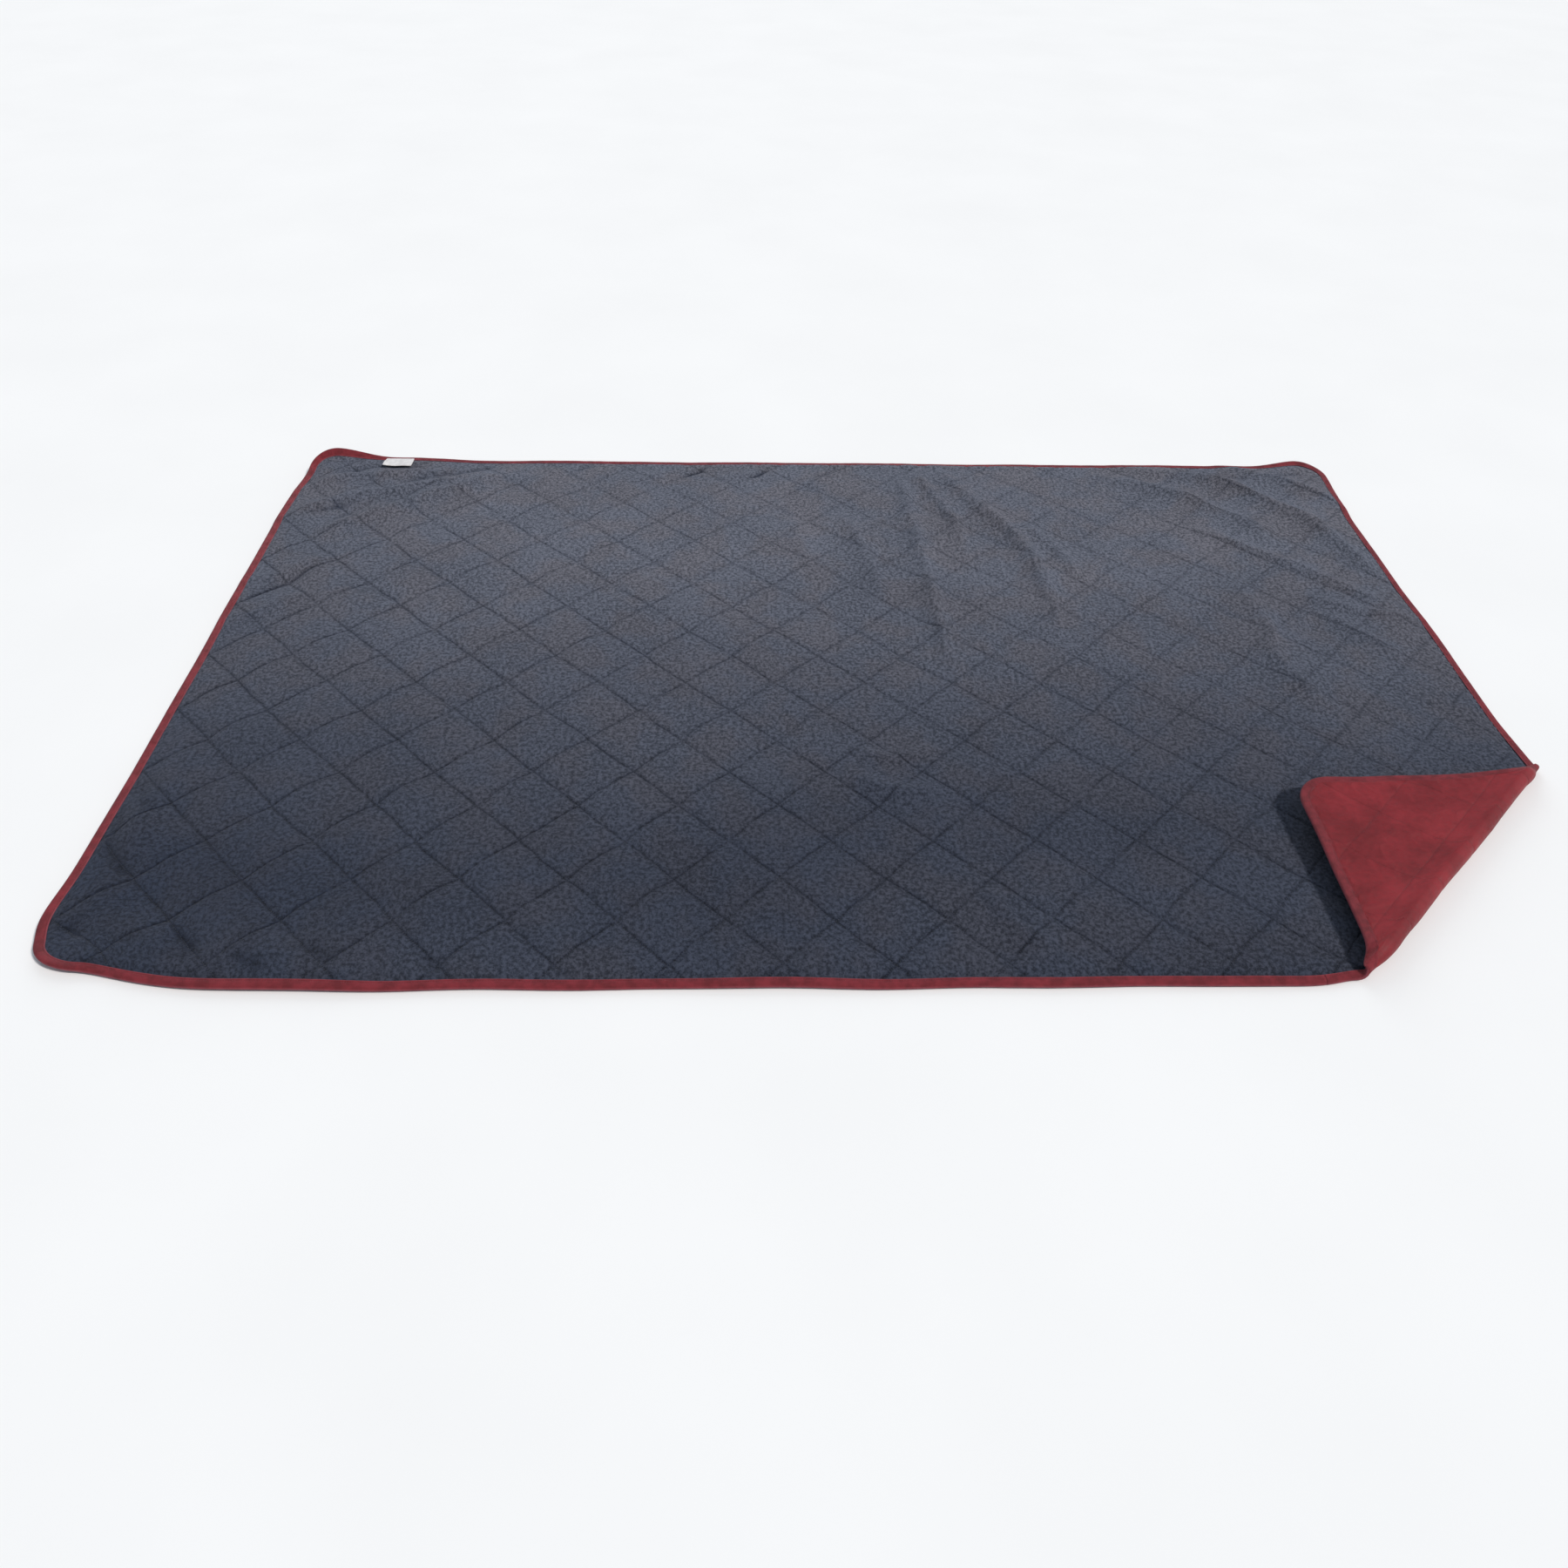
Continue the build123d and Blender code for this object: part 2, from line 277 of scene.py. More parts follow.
def rise(x, y):
    """Height of the lying cloth's underside: a slow unevenness and its folds added up, then the
    curled edges at the back and the left, and nothing under the label."""
    total = UNEVENNESS * (1 + wander(x, y, 0.30, 3))
    for height, side, rounding, points in FOLDS:
        total += height * crest(x, y, points, side, rounding)
    total *= 1 + 0.20 * wander(x, y, 0.16, 5)
    depth = inset(x, y)
    total += 0.006 * near(x + 0.955, 0.060) * near(y - 0.625, 0.045)  # dome in the corner
    for height, side, centre_x, reach_x, centre_y, reach_y in CURLS:
        bell = near(x - centre_x, reach_x) * near(y - centre_y, reach_y)
        total += height * np.exp(-depth / side) * bell
    total += 0.005 * np.exp(-depth / 0.018) * smooth((-x - 0.90) / 0.08)
    total *= 1 - 0.97 * near(x + 0.822, 0.058) * near(y - 0.636, 0.034)
    return np.minimum(total, HIGHEST)


# Where the cut was pushed off its drawn place: centre, reach, and shift along X and Y.
PUSHES = [
    (-1.000, 0.600, 0.080, 0.012, 0.000),
    (-0.955, -0.650, 0.075, 0.007, 0.026),
    (-1.000, -0.545, 0.050, -0.009, -0.004),
    (1.000, 0.600, 0.090, 0.010, 0.006),
    (0.960, 0.640, 0.060, 0.000, 0.004),
    (-0.870, -0.650, 0.070, 0.000, 0.008),
    (0.600, -0.650, 0.040, 0.000, 0.006),
    (-0.820, 0.650, 0.085, 0.000, 0.0095),
]


def shift(x, y):
    """How far the lying cloth is from where it was drawn: each seam bowed between the seams that
    cross it and wandering a few millimetres, the edges drawn in, the corners pushed."""
    free = smooth((inset(x, y) - 0.01) / 0.05)
    _, along = across_along(x, y)
    scallop = np.abs(np.sin(math.pi * (along - FALLING_SEAM) / PITCH))
    scallop *= 0.0018 + 0.0042 * smooth((0.1 - x) / 0.9) * (1 + 0.8 * wander(x, y, 0.16, 13))
    move_x = free * (0.0022 * wander(x, y, 0.13, 11) + 0.0007 * wander(x, y, 0.035, 14))
    move_y = free * (0.0022 * wander(x, y, 0.13, 12) + 0.0007 * wander(x, y, 0.035, 15))
    move_x -= free * scallop / ROOT_2
    move_y += free * scallop / ROOT_2
    move_x += 0.006 * near(x + LENGTH / 2, 0.09) - 0.005 * near(x - LENGTH / 2, 0.09)
    move_y -= 0.010 * near(y - WIDTH / 2, 0.08) + 0.003 * near(y + WIDTH / 2, 0.08)
    at_edge = 0.0016 * near(inset(x, y), 0.04)
    move_x += at_edge * wander(y, x, 0.24, 21)
    move_y += at_edge * wander(x, y, 0.24, 22)
    for centre_x, centre_y, reach, by_x, by_y in PUSHES:
        bell = near(x - centre_x, reach) * near(y - centre_y, reach)
        move_x += by_x * bell
        move_y += by_y * bell
    return move_x, move_y


# The fold isn't quite straight: how far out it lies at these places along it.
FOLD_ALONG = [-0.03, 0.06, 0.15, 0.33, 0.45, 0.52]
FOLD_OUT = [0.0000, -0.0020, -0.0014, 0.0042, 0.0054, 0.0080]
FRONT_END, BACK_END = -0.0259, 0.5208  # where the fold meets the edge
FRONT_PINCH, BACK_PINCH = 0.42, 0.52  # how much lower the bend is there, as a share


def lay(x, y, height):
    """Where a point of the cut lies: flat on the ground with its rise and shift, then round the
    bend, an arc about a line at the bend's height, then back over itself and slowly rising,
    slid a little to the left and the front. height is the distance from the backing's outer
    face."""
    across, along = across_along(x, y)
    pinch = FRONT_PINCH * near(along - FRONT_END, 0.035)
    pinch = pinch + BACK_PINCH * near(along - BACK_END, 0.030)
    centre = BEND_HEIGHT * (1 - pinch)
    middle = centre - LOFT / 2
    angle = np.clip((across - BEND_START) / middle, 0, TURN)
    beyond = np.maximum(across - BEND_START - middle * TURN, 0)
    arm = centre - height
    out = np.minimum(across, BEND_START) + arm * np.sin(angle) + beyond * math.cos(TURN)
    z = centre - arm * np.cos(angle) + beyond * math.sin(TURN)
    z = z + 2 * (BEND_HEIGHT - centre) * (1 - np.exp(-beyond / 0.040))
    out = out + near(out - HINGE_ACROSS, 0.05) * np.interp(along, FOLD_ALONG, FOLD_OUT)
    lying = 1 - smooth((across - SPLIT + 0.09) / 0.08)
    z = z + lying * rise(x, y)
    lying = 1 - smooth((across - BEND_START + 0.01) / 0.04)
    move_x, move_y = shift(x, y)
    turned = 1 - np.exp(-beyond / 0.080)
    creep = 1 - np.exp(-beyond / 0.015)
    z = z + turned * 0.0020 * wander(x, y, 0.16, 31)
    new_x = (out + along) / ROOT_2 + lying * move_x - 0.0085 * creep
    new_y = (along - out) / ROOT_2 + lying * move_y - 0.015 * creep - 0.039 * turned
    new_y = new_y + 0.0015 * creep * wander(x, y, 0.12, 33)
    at_fold = near(out - HINGE_ACROSS, 0.05)
    new_y = new_y - 0.010 * at_fold * near(along - BACK_END, 0.045)
    new_y = new_y + 0.005 * at_fold * near(along - FRONT_END, 0.040)
    return np.stack([new_x, new_y, z], -1)


def seam_distances(x, y):
    """Distance to the nearest rising seam and to the nearest falling seam."""
    across, along = across_along(x, y)
    to_rising = np.abs((across - RISING_SEAM + PITCH / 2) % PITCH - PITCH / 2)
    to_falling = np.abs((along - FALLING_SEAM + PITCH / 2) % PITCH - PITCH / 2)
    return to_rising, to_falling


def quilted(x, y):
    """Hill and groove of the quilting, each from 0 to 1: one less e to the minus distance from
    the seams for the hill, and e to the minus distance for the groove."""
    to_rising, to_falling = seam_distances(x, y)
    hill = (1 - np.exp(-to_rising / HILL_SIDE)) * (1 - np.exp(-to_falling / HILL_SIDE))
    groove = np.exp(-np.minimum(to_rising, to_falling) / GROOVE_SIDE)
    return hill, groove


def tightness(x, y):
    """How firmly the seams were pulled: 1 at the front left, less than half at the back right."""
    return 0.50 + 0.50 * smooth((0.55 - 0.5 * x - 0.9 * y) / 1.1)


def fleece_height(x, y):
    """Pile tips above the backing's outer face: hills and grooves of the quilting, less the
    creases, squeezed down under the tape."""
    hill, groove = quilted(x, y)
    depth = GROOVE_DEPTH * tightness(x, y) * (0.9 + 0.3 * wander(x, y, 0.07, 41))
    height = LOFT + HILL_HEIGHT * hill - depth * groove
    for deep, side, points in CREASES:
        height -= deep * crest(x, y, points, side, 0.0015, 0.35)
    puffed = near(x - 0.16, 0.42) * smooth((y - 0.55) / 0.05)
    height += 0.0032 * puffed * near(inset(x, y) - 0.021, 0.010)
    height = np.maximum(height, THINNEST)
    free = smooth((inset(x, y) - 0.0125) / 0.007)
    return BOUND_LOFT + (height - BOUND_LOFT) * free


def cuts(seam, low, high, steps):
    """Places of a mesh's lines from low to high: every seam, and those steps either side."""
    offsets = np.concatenate([-steps[1:], steps, [PITCH / 2]])
    places = seam + PITCH * np.arange(-14, 15)[:, None] + offsets
    places = np.unique(np.round(places, 6))
    places = places[(places > low + 2e-4) & (places < high - 2e-4)]
    return np.concatenate([[low], places, [high]])


LYING_STEPS = np.array([0, 0.0012, 0.003, 0.006, 0.011, 0.018, 0.026, 0.034, 0.042])
TURNED_STEPS = np.concatenate([[0, 0.0012], np.arange(0.003, 0.047, 0.0025)])


def cut_cloth(low, high, steps):
    """Grid of the cut between two places across the fold, as x, y and the cells' corners. A point
    outside the cut is moved square on to its edge, and cells wholly outside are dropped."""
    across, along = np.meshgrid(
        cuts(RISING_SEAM, low, high, steps),
        cuts(FALLING_SEAM, -HALF_DIAGONAL, HALF_DIAGONAL, steps),
        indexing="ij",
    )
    x, y = (across + along) / ROOT_2, (along - across) / ROOT_2
    room = inset(x, y) - TUCK
    out_x, out_y = outward(x, y)
    x, y = x + out_x * np.minimum(room, 0), y + out_y * np.minimum(room, 0)
    index = np.arange(x.size).reshape(x.shape)
    corners = [index[:-1, :-1], index[1:, :-1], index[1:, 1:], index[:-1, 1:]]
    cells = np.stack(corners, -1).reshape(-1, 4)
    px, py, room = x.ravel()[cells], y.ravel()[cells], room.ravel()[cells]
    size = (px[:, 2] - px[:, 0]) * (py[:, 3] - py[:, 1])
    size -= (px[:, 3] - px[:, 1]) * (py[:, 2] - py[:, 0])
    cells = cells[(room.max(1) > 0) & (np.abs(size) > 4e-8)]
    used, cells = np.unique(cells, return_inverse=True)
    return x.ravel()[used], y.ravel()[used], cells.reshape(-1, 4)


def make(name, points, faces, cut, material, nodes):
    """A piece from its points, its faces and the flat place of each point, which is its UV map.
    It stands for those CAD nodes."""
    mesh = bpy.data.meshes.new(name)
    count, corners = faces.shape
    mesh.vertices.add(len(points))
    mesh.vertices.foreach_set("co", points.astype(np.float32).ravel())
    mesh.loops.add(faces.size)
    mesh.loops.foreach_set("vertex_index", faces.astype(np.int32).ravel())
    mesh.polygons.add(count)
    mesh.polygons.foreach_set("loop_start", np.arange(0, faces.size, corners, dtype=np.int32))
    mesh.update(calc_edges=True)
    mesh.polygons.foreach_set("use_smooth", np.ones(count, bool))
    uv = mesh.uv_layers.new(name="cut")
    uv.data.foreach_set("uv", cut[faces.ravel()].astype(np.float32).ravel())
    mesh.materials.append(material)
    piece = bpy.data.objects.new(name, mesh)
    bpy.context.scene.collection.objects.link(piece)
    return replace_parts(piece, *nodes)


def mark(piece, name, values):
    """Gives each point of a piece a number of its own, which its material reads."""
    attribute = piece.data.attributes.new(name, "FLOAT", "POINT")
    attribute.data.foreach_set("value", values.astype(np.float32))


def turn_with_corner(piece, start, end):
    """Bakes the piece's placement into its mesh; it does not bend the piece with the turned
    corner.
    start and end are not used.
    """
    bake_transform(piece)


def node(tree, kind, inputs=(), **settings):
    """A shader node of that kind, with its settings and with each input set or linked."""
    made = tree.nodes.new("ShaderNode" + kind)
    for name, value in settings.items():
        setattr(made, name, value)
    for name, value in dict(inputs).items():
        if isinstance(value, bpy.types.NodeSocket):
            tree.links.new(value, made.inputs[name])
        else:
            made.inputs[name].default_value = value
    return made


def noise(tree, place, scale, detail=3, roughness=0.5, kind="FBM", stretch=None):
    """Noise of that many grains to the metre over the flat cloth, as one number."""
    if stretch:
        place = node(tree, "Mapping", {"Vector": place, "Scale": stretch}).outputs["Vector"]
    inputs = {"Vector": place, "Scale": scale, "Detail": detail, "Roughness": roughness}
    made = node(tree, "TexNoise", inputs, noise_dimensions="2D", noise_type=kind)
    return made.outputs[0]


def maths(tree, operation, first, second=0.0):
    """One operation on two numbers or sockets."""
    return node(tree, "Math", {0: first, 1: second}, operation=operation).outputs[0]


def ramp(tree, value, low, high, first=0.0, last=1.0):
    """value from low to high becomes first to last, and stops at both ends."""
    inputs = {"Value": value, "From Min": low, "From Max": high, "To Min": first, "To Max": last}
    return node(tree, "MapRange", inputs).outputs["Result"]


def blend_colours(tree, share, first, second, kind="MIX"):
    """first where share is 0, second where it is 1; each a colour or a socket."""
    made = node(tree, "Mix", {0: share, 6: first, 7: second}, data_type="RGBA", blend_type=kind)
    return made.outputs[2]


def weighted(tree, *parts):
    """Sum of sockets, each times its own weight."""
    total = maths(tree, "MULTIPLY", *parts[0])
    for socket, weight in parts[1:]:
        total = maths(tree, "ADD", total, maths(tree, "MULTIPLY", socket, weight))
    return total


def new_material(name, settings):
    """A new material with those constants on its shader, together with its tree and shader."""
    material = bpy.data.materials.new(name)
    material.use_nodes = True
    shader = material.node_tree.nodes["Principled BSDF"]
    for socket, value in settings.items():
        shader.inputs[socket].default_value = value
    return material, material.node_tree, shader


def relief(tree, shader, height, distance):
    """Bump of that height, from a number of 0 to 1."""
    inputs = {"Height": height, "Distance": distance, "Strength": 1.0}
    tree.links.new(node(tree, "Bump", inputs).outputs["Normal"], shader.inputs["Normal"])


def fleece_material():
    """Pile raised by brushing: tufts a few millimetres wide in slightly different greys and blues,
    in slow patches, darkened by painted shade towards the front and the front left, darker along
    the seams and creases partly by painted shade, with the sheen of fine hairs."""
    settings = {
        "Roughness": 0.92,
        "Specular IOR Level": 0.15,
        "Sheen Weight": 0.10,
        "Sheen Roughness": 0.45,
        "Sheen Tint": (0.72, 0.80, 1.0, 1),
    }
    material, tree, shader = new_material("fleece_pile", settings)
    place = node(tree, "UVMap", uv_map="cut").outputs["UV"]
    hairs = noise(tree, place, 1100, 4, 0.7)
    tufts = noise(tree, place, 190, 4, 0.75)
    clumps = noise(tree, place, 70, 3, 0.55)
    patches = noise(tree, place, 7, 4, 0.55)
    tint = noise(tree, place, 11, 3, 0.5)
    tone = weighted(tree, (tufts, 0.85), (clumps, 0.10), (patches, 0.08))
    tone = ramp(tree, tone, 0.42, 0.61)
    cool = blend_colours(tree, tone, (0.052, 0.058, 0.077, 1), (0.158, 0.169, 0.214, 1))
    warm = blend_colours(tree, tone, (0.056, 0.057, 0.071, 1), (0.170, 0.168, 0.200, 1))
    colour = blend_colours(tree, ramp(tree, tint, 0.42, 0.60), cool, warm)
    # Painted shade: the pile darkens towards the front and the front left, standing in for light
    # that falls off there.
    painted_shade_gradient = node(tree, "Attribute", attribute_name="painted_shade_gradient").outputs["Fac"]
    colour = blend_colours(tree, painted_shade_gradient, colour, (0.17, 0.21, 0.29, 1), "MULTIPLY")
    # Darker along the seams and in the creases: partly the darker parted pile at the seams, partly
    # painted shade in the seam grooves and creases, fading towards the back right.
    seam = node(tree, "Attribute", attribute_name="seam").outputs["Fac"]
    faint = ramp(tree, noise(tree, place, 16, 3, 0.6), 0.35, 0.6, 0.45, 1)
    seam = maths(tree, "MULTIPLY", seam, faint)
    colour = blend_colours(tree, seam, colour, (0.20, 0.23, 0.30, 1), "MULTIPLY")
    tree.links.new(colour, shader.inputs["Base Color"])
    relief(tree, shader, weighted(tree, (tufts, 0.6), (hairs, 0.3), (clumps, 0.5)), 0.0022)
    return material


fleece_pile = fleece_material()


def fleece(name, low, high, steps, node_name):
    """Fleece between two places across the fold, marked with how close a seam or a crease is,
    which the material darkens partly as painted shade, and with painted shade that darkens it
    towards the front and the front left."""
    x, y, cells = cut_cloth(low, high, steps)
    points = lay(x, y, fleece_height(x, y))
    piece = make(name, points, cells, np.stack([x, y], -1), fleece_pile, [node_name])
    to_rising, to_falling = seam_distances(x, y)
    # The seam mark carries painted shade: in the creases, and in the seam grooves beside the
    # darker parted pile.
    pressed = sum(crest(x, y, line, 0.6 * side, 0.001, 0.35) for _, side, line in CREASES)
    close = np.exp(-np.minimum(to_rising, to_falling) / 0.0019) * tightness(x, y)
    mark(piece, "seam", np.clip(close + 0.75 * pressed, 0, 1))
    # Painted shade, strongest at the front left and fading to nothing towards the back, where the
    # light falls off towards the front.
    painted_shade_gradient = 0.80 * smooth(0.45 - y) + 0.16 * smooth((-x - 0.45) / 0.5)
    painted_shade_gradient += 0.05 * wander(x, y, 0.35, 42)
    mark(piece, "painted_shade_gradient", np.clip(painted_shade_gradient, 0, 1))
    return piece


fleece_lying = fleece("fleece_face_lying", -HALF_DIAGONAL, SPLIT, LYING_STEPS, "fleece_face")
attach(fleece_lying, "blanket")
fleece_turned = fleece(
    "fleece_face_turned", SPLIT, HALF_DIAGONAL, TURNED_STEPS, "fleece_face_corner"
)
turn_with_corner(fleece_turned, *FLEECE_TURN)


# ---- Wadding -------------------------------------------------------------------------------
# A thin layer of white polyester fibre between the two cloths, held by the quilting. It fills
# the diamonds and is nipped to almost nothing in the seams.

WADDING_STEPS = np.array([0, 0.006, 0.013, 0.021, 0.030, 0.039])
WADDING_TURNED_STEPS = np.arange(0, 0.047, 0.005)
OVER_BACKING = 0.0010  # lower face above the backing's outer face
UNDER_PILE = 0.0020  # upper face below the tips of the pile
UNDER_CREASE = 0.0040  # further below them in a crease
UNDER_FOLD = 0.0026  # in a loose fold
UNDER_BEND = 0.0050  # in the bend of the turned corner
UNDER_TAPE = 0.0010  # and beside the tape
WADDING_LEAST = 0.0002
WADDING_TURN = (0.0060, 0.0260)


def backing_height(x, y):
    """Backing's outer face: touching the ground in the middle of each diamond, drawn up in the
    seams, and tucked into the tape."""
    hill, groove = quilted(x, y)
    tucked = 1 - smooth((inset(x, y) - 0.011) / 0.004)
    return np.maximum(0.0006 * (1 - hill) + 0.0005 * groove, 0.0011 * tucked)


def wadding_material():
    """Loose white fibre, laid mostly one way."""
    settings = {"Roughness": 1.0, "Sheen Weight": 0.4}
    material, tree, shader = new_material("wadding_fibre", settings)
    place = node(tree, "UVMap", uv_map="cut").outputs["UV"]
    fibres = noise(tree, place, 260, 5, 0.7, stretch=(1, 0.3, 1))
    colour = blend_colours(tree, fibres, (0.55, 0.54, 0.52, 1), (0.86, 0.86, 0.84, 1))
    tree.links.new(colour, shader.inputs["Base Color"])
    relief(tree, shader, fibres, 0.002)
    return material


wadding_fibre = wadding_material()


def wadding(name, low, high, steps, node_name):
    """Closed pad between fleece and backing: an upper and a lower sheet of the same cells,
    joined all round by the cells' edges that only one cell uses."""
    x, y, cells = cut_cloth(low, high, steps)
    pressed = sum(crest(x, y, line, 0.012, 0.006, 0.2) for _, _, line in CREASES)
    nipped = UNDER_TAPE * (1 - smooth((inset(x, y) - 0.010) / 0.014))
    folded = sum(crest(x, y, line, side, soft) for _, side, soft, line in FOLDS)
    low_face = backing_height(x, y) + OVER_BACKING + nipped
    top_face = fleece_height(x, y) - UNDER_PILE - nipped
    top_face -= UNDER_CREASE * np.minimum(pressed, 1) + UNDER_FOLD * np.minimum(folded, 1)
    across, _ = across_along(x, y)
    flattened = smooth((across - BEND_START + 0.012) / 0.010)
    flattened *= 1 - smooth((across - BEND_START - MIDDLE_BEND * TURN) / 0.05)
    top_face -= UNDER_BEND * flattened
    top = lay(x, y, np.maximum(top_face, low_face + WADDING_LEAST))
    bottom = lay(x, y, low_face)
    edges = np.stack([cells, np.roll(cells, -1, 1)], -1).reshape(-1, 2)
    keys = np.sort(edges, 1) @ np.array([len(x), 1])
    _, first, uses = np.unique(keys, return_index=True, return_counts=True)
    rim = edges[first[uses == 1]]
    sides = np.concatenate([rim[:, ::-1], rim + len(x)], 1)
    faces = np.concatenate([cells, cells[:, ::-1] + len(x), sides])
    flat = np.stack([x, y], -1)
    points, cut = np.concatenate([top, bottom]), np.concatenate([flat, flat])
    piece = make(name, points, faces, cut, wadding_fibre, [node_name])
    return piece


wadding_lying = wadding("wadding_lying", -HALF_DIAGONAL, SPLIT, WADDING_STEPS, "wadding")
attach(wadding_lying, "blanket")
wadding_turned = wadding(
    "wadding_turned", SPLIT, HALF_DIAGONAL, WADDING_TURNED_STEPS, "wadding_corner"
)
turn_with_corner(wadding_turned, *WADDING_TURN)


# ---- Nylon backing -------------------------------------------------------------------------
# The underside: plain-weave nylon in burgundy with a thin coating, quilted through. It shows on
# the turned corner, where it is crinkled by packing.

BACKING_STEPS = np.array([0, 0.003, 0.011, 0.024, 0.036])
CRINKLED_STEPS = np.concatenate([[0, 0.0010], np.arange(0.0022, 0.047, 0.0016)])
CRINKLE_HEIGHT = 0.0010
BACKING_TURN = (0.0027, 0.0293)


def nylon_crinkle(x, y):
    """Small sharp folds of the thin cloth: one less the size of slow drifts, so that a crease
    runs wherever a drift passes through zero, and gathers square to the tape beside it."""
    first = 1 - np.minimum(np.abs(wander(x, y, 0.055, 51)) * 2.6, 1)
    second = 1 - np.minimum(np.abs(wander(x, y, 0.030, 52)) * 2.2, 1)
    depth = inset(x, y)
    run = np.where(np.abs(y) - WIDTH / 2 > np.abs(x) - LENGTH / 2, x, y)
    gathers = 1 - np.minimum(np.abs(wander(run, 0.15 * depth, 0.030, 53)) * 1.4, 1)
    gathers = gathers * smooth((depth - 0.010) / 0.006) * np.exp(-depth / 0.020)
    return 0.7 * first**2 + 0.25 * second**2 + 2.6 * gathers


def nylon_material():
    """Coated plain weave: a fine grid of threads, soft crinkles, and slightly uneven dye."""
    settings = {"Specular IOR Level": 0.20, "Sheen Weight": 0.02, "Sheen Roughness": 0.35}
    material, tree, shader = new_material("nylon_weave", settings)
    place = node(tree, "UVMap", uv_map="cut").outputs["UV"]
    weave = [
        node(tree, "TexWave", {"Vector": place, "Scale": 520.0}, bands_direction=way).outputs[1]
        for way in ("X", "Y")
    ]
    threads = maths(tree, "MULTIPLY", weave[0], weave[1])
    crinkles = noise(tree, place, 38, 4, 0.6, "RIDGED_MULTIFRACTAL")
    small = noise(tree, place, 120, 3, 0.6)
    dye = noise(tree, place, 14, 3, 0.6)
    tone = ramp(tree, weighted(tree, (dye, 0.7), (small, 0.3)), 0.35, 0.65)
    colour = blend_colours(tree, tone, (0.150, 0.012, 0.016, 1), (0.245, 0.020, 0.027, 1))
    # Painted shade in the seam grooves: the nylon darkens a little along the seams.
    seam = node(tree, "Attribute", attribute_name="seam").outputs["Fac"]
    seam = maths(tree, "MULTIPLY", seam, 0.20)
    colour = blend_colours(tree, seam, colour, (0.050, 0.007, 0.010, 1))
    tree.links.new(colour, shader.inputs["Base Color"])
    tree.links.new(ramp(tree, small, 0.3, 0.7, 0.42, 0.58), shader.inputs["Roughness"])
    height = weighted(tree, (crinkles, 0.25), (small, 0.25), (threads, 0.06))
    relief(tree, shader, height, 0.0016)
    return material


nylon_weave = nylon_material()


def backing(name, low, high, steps, node_name):
    """Backing between two places across the fold, facing down where it lies on the ground. On
    the turned corner its crinkles stand out of the cloth."""
    x, y, cells = cut_cloth(low, high, steps)
    across, _ = across_along(x, y)
    beyond = smooth((across - BEND_START - MIDDLE_BEND * TURN) / 0.06)
    crinkle = CRINKLE_HEIGHT * beyond * nylon_crinkle(x, y)
    points = lay(x, y, backing_height(x, y) - crinkle)
    cut = np.stack([x, y], -1)
    piece = make(name, points, cells[:, ::-1], cut, nylon_weave, [node_name])
    to_rising, to_falling = seam_distances(x, y)
    mark(piece, "seam", np.exp(-np.minimum(to_rising, to_falling) / 0.0012))
    return piece


backing_lying = backing(
    "nylon_backing_lying", -HALF_DIAGONAL, SPLIT, BACKING_STEPS, "nylon_backing"
)
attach(backing_lying, "blanket")
backing_turned = backing(
    "nylon_backing_turned", SPLIT, HALF_DIAGONAL, CRINKLED_STEPS, "nylon_backing_corner"
)
turn_with_corner(backing_turned, *BACKING_TURN)


# ---- Binding tape --------------------------------------------------------------------------
# One strip of burgundy woven tape, folded over the raw edge of all the layers and sewn through
# with one row of stitches. Its end is lapped over its start on the left side.

SIDE_RUN = WIDTH - 2 * CORNER_RADIUS
FRONT_RUN = LENGTH - 2 * CORNER_RADIUS
ARC_RUN = CORNER_RADIUS * math.pi / 2
EDGE_RUNS = [SIDE_RUN, ARC_RUN, FRONT_RUN, ARC_RUN, SIDE_RUN, ARC_RUN, FRONT_RUN, ARC_RUN]
EDGE_KNOTS = np.concatenate([[0], np.cumsum(EDGE_RUNS)])
EDGE_CENTRE_X = FRONT_RUN / 2 * np.array([1, 1, 1, -1, -1, -1, -1, 1, 1])
EDGE_CENTRE_Y = SIDE_RUN / 2 * np.array([-1, 1, 1, 1, 1, -1, -1, -1, -1])
EDGE_ANGLE = np.radians([0, 0, 90, 90, 180, 180, 270, 270, 360])
RING_STEP = 0.0026
TAPE_MIDDLE = 0.0032  # the height that its thickness swells about
TAPE_TURN = (0.0072, 0.0248)
LAP_PLACE = -0.186  # along Y on the left side
LAP_LENGTH = 0.030

# The tape's outer and inner face from its upper long edge round to its lower one: distance in
# from the outer edge, and height above the backing's outer face.
TAPE_OUTER = 0.001 * np.array(
    [(12.5, 5.5), (12.7, 6.1), (12.1, 6.6), (10.9, 6.5), (10.0, 6.0), (9.1, 6.5), (7.0, 6.7),
     (4.5, 6.6), (2.6, 6.1), (1.1, 5.2), (0.2, 4.0), (0.0, 3.0), (0.3, 1.9), (1.2, 0.9),
     (3.0, 0.35), (6.0, 0.15), (9.1, 0.1), (10.0, 0.5), (10.9, 0.1), (12.2, 0.1), (12.7, 0.5)]
)
TAPE_INNER = 0.001 * np.array(
    [(12.3, 5.3), (12.2, 5.7), (11.9, 6.0), (10.9, 5.9), (10.0, 5.5), (9.1, 5.9), (7.0, 6.1),
     (4.6, 6.0), (2.9, 5.6), (1.6, 4.8), (0.8, 3.8), (0.6, 3.0), (0.9, 2.2), (1.6, 1.4),
     (3.1, 0.9), (6.0, 0.7), (9.1, 0.7), (10.0, 1.0), (10.9, 0.7), (12.0, 0.6), (12.3, 0.9)]
)


